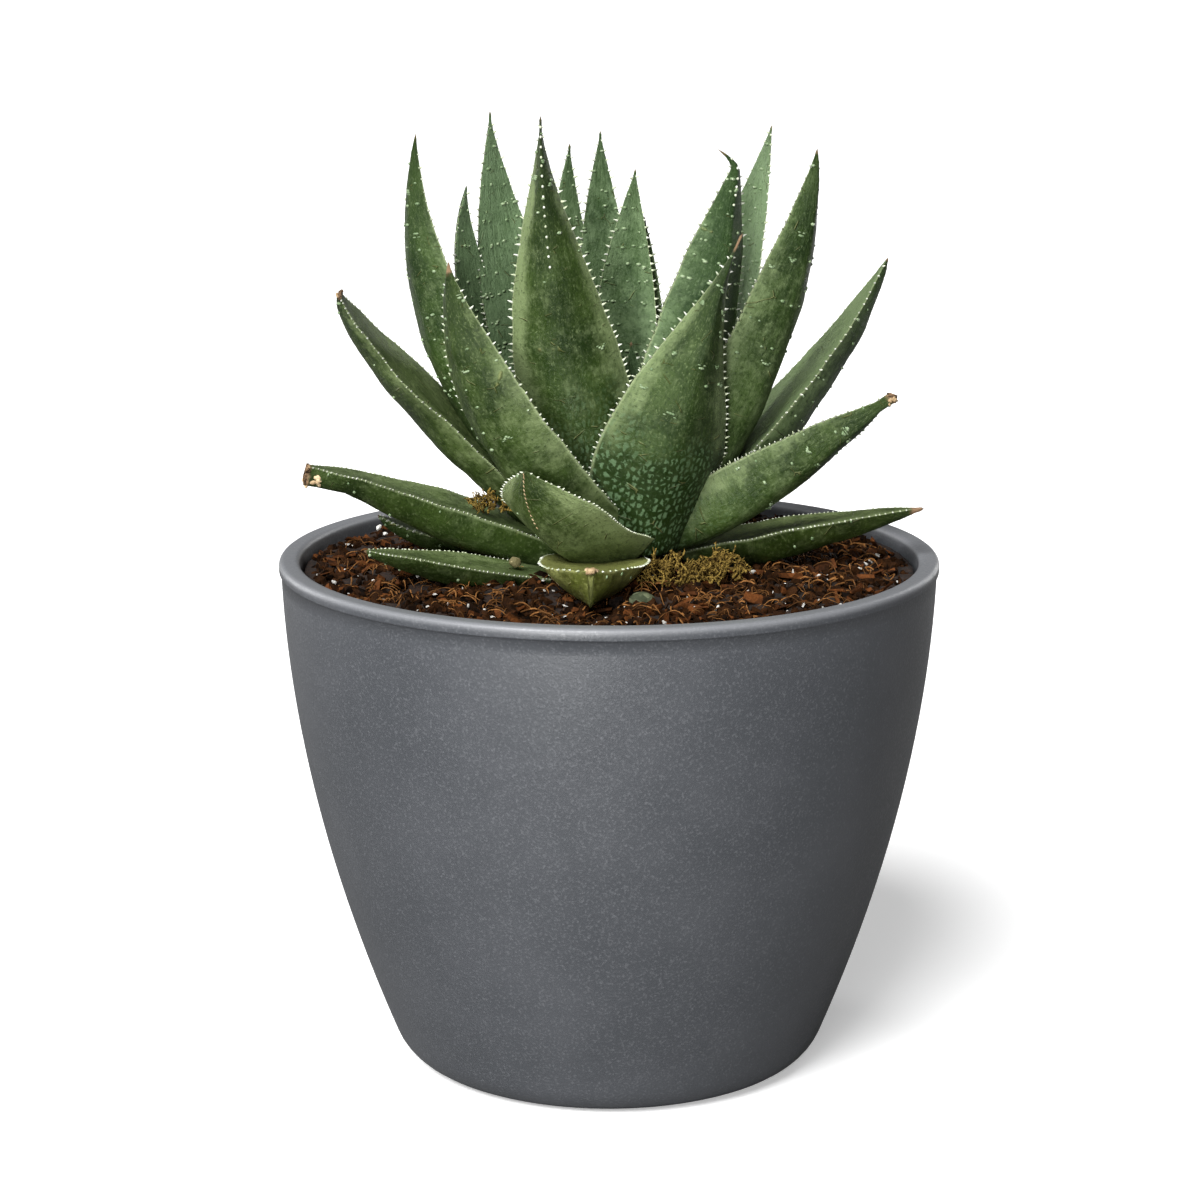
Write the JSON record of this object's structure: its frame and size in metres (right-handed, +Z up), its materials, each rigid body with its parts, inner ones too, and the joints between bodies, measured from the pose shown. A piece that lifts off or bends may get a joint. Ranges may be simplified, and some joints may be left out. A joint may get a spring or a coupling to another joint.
{
  "type": "potted haworthia",
  "caption": "Live rosette succulent with thick, pointed, toothed leaves on a short stem, rooted in bark mix in a round, flared planter with a flat rim.",
  "frame": {"origin": "centre of the pot's underside, on its axis and in the plane of its foot ring", "axes": "+Z up along the pot's axis; -Y is the front, where the short stub leaf points; +X to the right seen from the front"},
  "size_m": [0.15, 0.15, 0.217],
  "materials": {
    "pot": "matte anthracite with a fine grain, paler on the rim",
    "mix": "rough brown bark, coir fibre and white grit",
    "stem": "pale, dry and fibrous",
    "leaf": "satin grey-green skin with a pale bloom, white teeth and raised white dots",
    "moss": "dry, branched and yellow-brown",
    "pebble": "matte, slightly mottled"
  },
  "bodies": {
    "root": {"planter_pot": "pot", "potting_mix": "mix", "stem_with_roots": "stem", "leaf_front_stub": "leaf", "leaf_on_mix_left": "leaf", "leaf_on_mix_right": "leaf", "leaf_low_left": "leaf", "leaf_low_right": "leaf", "leaf_under_left": "leaf", "leaf_back_low_left": "leaf", "leaf_back_low_middle": "leaf", "leaf_back_low_right": "leaf", "leaf_front_short": "leaf", "leaf_front_right_tall": "leaf", "leaf_front_left_tall": "leaf", "leaf_slanted_left": "leaf", "leaf_slanted_right": "leaf", "leaf_front_centre_tall": "leaf", "leaf_tall_right": "leaf", "leaf_tall_left": "leaf", "leaf_curled_right": "leaf", "leaf_back_right_tall": "leaf", "leaf_slim_left": "leaf", "leaf_back_left_wide": "leaf", "leaf_inner_back": "leaf", "leaf_back_slim_right": "leaf", "leaf_back_middle": "leaf", "leaf_back_slim_left": "leaf", "leaf_heart": "leaf", "moss_clump_front": "moss", "moss_clump_right": "moss", "pebble_round": "pebble", "pebble_flat": "pebble"}
  },
  "joints": []
}
